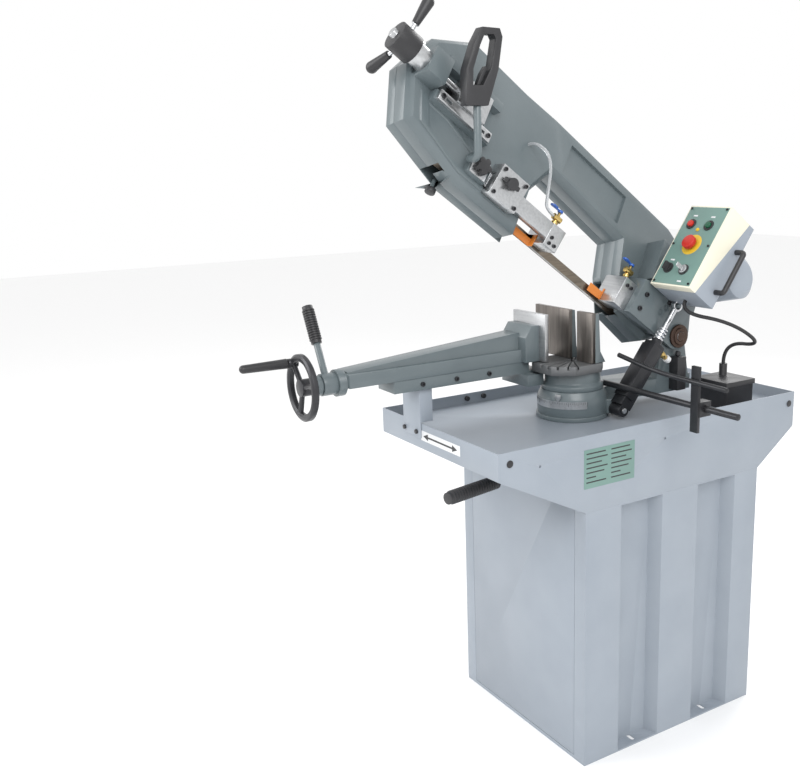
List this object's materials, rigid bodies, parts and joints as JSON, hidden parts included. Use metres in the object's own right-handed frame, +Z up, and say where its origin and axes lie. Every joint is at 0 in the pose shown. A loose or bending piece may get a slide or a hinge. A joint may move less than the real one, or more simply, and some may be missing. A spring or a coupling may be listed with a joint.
{
  "type": "metal-cutting band saw",
  "caption": "Pivoting-head band saw on a cabinet stand, with a swivel turntable, a quick-action vise, a coolant tray, a feed cylinder and a hooded control box.",
  "frame": {"origin": "centre of the cabinet's footprint on the floor", "axes": "+X is the operator's right, +Y runs from the operator to the rear, +Z is up"},
  "size_m": [0.7925, 1.438, 1.8879],
  "materials": {
    "cabinet_paint": "satin",
    "casting_paint": "satin",
    "box_paint": "satin",
    "guard_orange": "satin",
    "black_plastic": "matte",
    "black_steel": "satin",
    "ground_steel": "satin",
    "jaw_steel": "satin",
    "blade_steel": "satin",
    "bare_iron": "matte",
    "brass": "satin",
    "blue_plastic": "gloss",
    "red_plastic": "gloss",
    "green_plastic": "gloss",
    "white_plastic": "gloss",
    "bright_steel": "polished",
    "hose_rubber": "matte",
    "clear_hose": "gloss"
  },
  "bodies": {
    "stand": {"cabinet": "cabinet_paint", "front_panel": "cabinet_paint", "drip_tray": "cabinet_paint", "tray_fasteners": "black_plastic", "turntable_base": "casting_paint", "bed": "bare_iron", "right_jaw": "jaw_steel", "vise_guide": "casting_paint", "vise_post": "cabinet_paint", "stop_rod": "black_steel", "coolant_pump": "black_plastic"},
    "left_jaw": {"left_jaw": "jaw_steel"},
    "vise_slide": {"vise_arm": "casting_paint", "moving_jaw_plate": "ground_steel"},
    "vise_wheel": {"handwheel": "black_steel", "vise_screw": "ground_steel"},
    "crank_grip": {"crank_grip": "black_plastic"},
    "clamp_lever": {"clamp_lever": "casting_paint"},
    "lock_lever": {"lock_lever": "black_plastic"},
    "stop": {"stop_bracket": "black_steel"},
    "swivel": {"swivel_arm": "casting_paint", "limit_switch": "black_plastic"},
    "feed_cylinder": {"feed_cylinder": "black_steel"},
    "piston": {"piston_rod": "bright_steel"},
    "valve_knob": {"valve_knob": "white_plastic"},
    "bow": {"bow_casting": "casting_paint", "pivot_bracket": "casting_paint", "pivot_shaft": "black_steel", "tension_fittings": "ground_steel", "rear_guide_block": "ground_steel", "arm_clamp": "ground_steel", "rear_tap": "brass", "handle_tube": "casting_paint", "grip_handle": "black_plastic", "gear_motor": "casting_paint", "control_box": "box_paint", "motor_cover": "box_paint", "cover_handle": "black_plastic", "blade": "blade_steel", "pump_hose": "hose_rubber", "front_hose": "clear_hose"},
    "cover": {"wheel_cover": "casting_paint"},
    "idler_carriage": {"idler_slide": "ground_steel"},
    "idler": {"idler_wheel": "bare_iron"},
    "driver": {"drive_wheel": "bare_iron"},
    "tensioner": {"tension_knob": "black_plastic"},
    "guide": {"guide_arm": "ground_steel", "front_guide_block": "ground_steel", "front_guard": "guard_orange", "front_tap": "brass"},
    "clamp_knob": {"clamp_knob": "black_plastic"},
    "front_tap_lever": {"front_tap_lever": "blue_plastic"},
    "rear_tap_lever": {"rear_tap_lever": "blue_plastic"},
    "lobed_knob": {"lobed_knob": "black_plastic"},
    "trigger": {"trigger": "black_plastic"},
    "stop_button": {"stop_button": "red_plastic"},
    "start_button": {"start_button": "green_plastic"},
    "emergency_stop": {"emergency_stop": "red_plastic"},
    "selector": {"selector": "black_plastic"},
    "key": {"key_switch": "ground_steel"}
  },
  "joints": [
    {"name": "swivel_turn", "type": "hinge", "parent": "stand", "child": "swivel", "pos_m": [0, -0.126, 0.9], "axis": [0, 0, 1], "range_deg": [0, 45]},
    {"name": "bow_lift", "type": "hinge", "parent": "swivel", "child": "bow", "pos_m": [0, 0.17, 1.048], "axis": [1, 0, 0], "range_deg": [0, 36.4]},
    {"name": "feed_swing", "type": "hinge", "parent": "swivel", "child": "feed_cylinder", "pos_m": [0.112, -0.06, 0.88], "axis": [1, 0, 0], "range_deg": [0, 3.7]},
    {"name": "piston_travel", "type": "slide", "parent": "feed_cylinder", "child": "piston", "axis": [0, 0.6188, 0.7855], "range_m": [-0.0559, 0]},
    {"name": "valve_turn", "type": "hinge", "parent": "feed_cylinder", "child": "valve_knob", "pos_m": [0.11, 0.10716, 0.99783], "axis": [0, 0.7855, -0.6188], "range_deg": [-150, 150]},
    {"name": "drive_spin", "type": "hinge", "parent": "bow", "child": "driver", "pos_m": [-0.03829, 0.15545, 1.19341], "axis": [0.9659, 0.1536, 0.2083], "continuous": true},
    {"name": "idler_travel", "type": "slide", "parent": "bow", "child": "idler_carriage", "axis": [0, 0.8049, -0.5934], "range_m": [0, 0.005]},
    {"name": "idler_spin", "type": "hinge", "parent": "idler_carriage", "child": "idler", "pos_m": [-0.03829, -0.45949, 1.64678], "axis": [0.9659, 0.1536, 0.2083], "continuous": true},
    {"name": "tension_turn", "type": "hinge", "parent": "bow", "child": "tensioner", "pos_m": [0.01966, -0.59837, 1.76847], "axis": [0, 0.8049, -0.5934], "range_deg": [0, 720]},
    {"name": "cover_swing", "type": "hinge", "parent": "bow", "child": "cover", "pos_m": [-0.09545, -0.06905, 1.56634], "axis": [0, 0.8049, -0.5934], "range_deg": [0, 95]},
    {"name": "guide_travel", "type": "slide", "parent": "bow", "child": "guide", "axis": [0, 0.8049, -0.5934], "range_m": [0, 0.04]},
    {"name": "clamp_knob_turn", "type": "hinge", "parent": "bow", "child": "clamp_knob", "pos_m": [0.07, -0.3819, 1.47229], "axis": [1, 0, 0], "range_deg": [0, 90]},
    {"name": "front_tap_turn", "type": "hinge", "parent": "guide", "child": "front_tap_lever", "pos_m": [0.03, -0.19167, 1.39665], "axis": [0, 0.5934, 0.8049], "range_deg": [-45, 45]},
    {"name": "rear_tap_turn", "type": "hinge", "parent": "bow", "child": "rear_tap_lever", "pos_m": [0.04, 0.04277, 1.24616], "axis": [0, 0.5934, 0.8049], "range_deg": [-45, 45]},
    {"name": "lobed_knob_turn", "type": "hinge", "parent": "bow", "child": "lobed_knob", "pos_m": [0.06089, -0.447, 1.51374], "axis": [0.9659, 0.1536, 0.2083], "range_deg": [-180, 180]},
    {"name": "trigger_pull", "type": "hinge", "parent": "bow", "child": "trigger", "pos_m": [0.096, -0.4807, 1.69608], "axis": [1, 0, 0], "range_deg": [-4, 0], "stiffness_Nm_per_rad": 0.05},
    {"name": "left_jaw_travel", "type": "slide", "parent": "stand", "child": "left_jaw", "axis": [-1, 0, 0], "range_m": [0, 0.12]},
    {"name": "vise_travel", "type": "slide", "parent": "stand", "child": "vise_slide", "axis": [0, 1, 0], "range_m": [-0.1501, 0.0726]},
    {"name": "wheel_turn", "type": "hinge", "parent": "vise_slide", "child": "vise_wheel", "pos_m": [-0.095, -0.862, 1.016], "axis": [0, 1, 0], "range_deg": [-10800, 5220]},
    {"name": "crank_spin", "type": "hinge", "parent": "vise_wheel", "child": "crank_grip", "pos_m": [-0.1441, -0.93, 1.06866], "axis": [0, 1, 0], "continuous": true},
    {"name": "clamp_turn", "type": "hinge", "parent": "vise_slide", "child": "clamp_lever", "pos_m": [-0.095, -0.798, 1.016], "axis": [0, 1, 0], "range_deg": [-50, 0]},
    {"name": "lock_turn", "type": "hinge", "parent": "stand", "child": "lock_lever", "pos_m": [0, -0.126, 0.737], "axis": [0, 0, 1], "range_deg": [-15, 15]},
    {"name": "stop_travel", "type": "slide", "parent": "stand", "child": "stop", "axis": [1, 0, 0], "range_m": [-0.06, 0.08]},
    {"name": "stop_press", "type": "slide", "parent": "bow", "child": "stop_button", "axis": [0, 0.8049, -0.5934], "range_m": [0, 0.003], "stiffness_N_per_m": 400},
    {"name": "start_press", "type": "slide", "parent": "bow", "child": "start_button", "axis": [0, 0.8049, -0.5934], "range_m": [0, 0.003], "stiffness_N_per_m": 400},
    {"name": "emergency_press", "type": "slide", "parent": "bow", "child": "emergency_stop", "axis": [0, 0.8049, -0.5934], "range_m": [0, 0.005], "stiffness_N_per_m": 600},
    {"name": "selector_turn", "type": "hinge", "parent": "bow", "child": "selector", "pos_m": [0.137, 0.08057, 1.24687], "axis": [0, 0.8049, -0.5934], "range_deg": [-45, 45]},
    {"name": "key_turn", "type": "hinge", "parent": "bow", "child": "key", "pos_m": [0.192, 0.07997, 1.24607], "axis": [0, 0.8049, -0.5934], "range_deg": [0, 90]}
  ],
  "couplings": [
    {"joint": "feed_swing", "follows": "bow_lift", "ratio": 0.094144},
    {"joint": "piston_travel", "follows": "bow_lift", "m_per_rad": -0.087043},
    {"joint": "idler_spin", "follows": "drive_spin", "ratio": 1},
    {"joint": "idler_travel", "follows": "tension_turn", "m_per_rad": 0.00039789},
    {"joint": "vise_travel", "follows": "wheel_turn", "m_per_rad": 0.00079577}
  ]
}
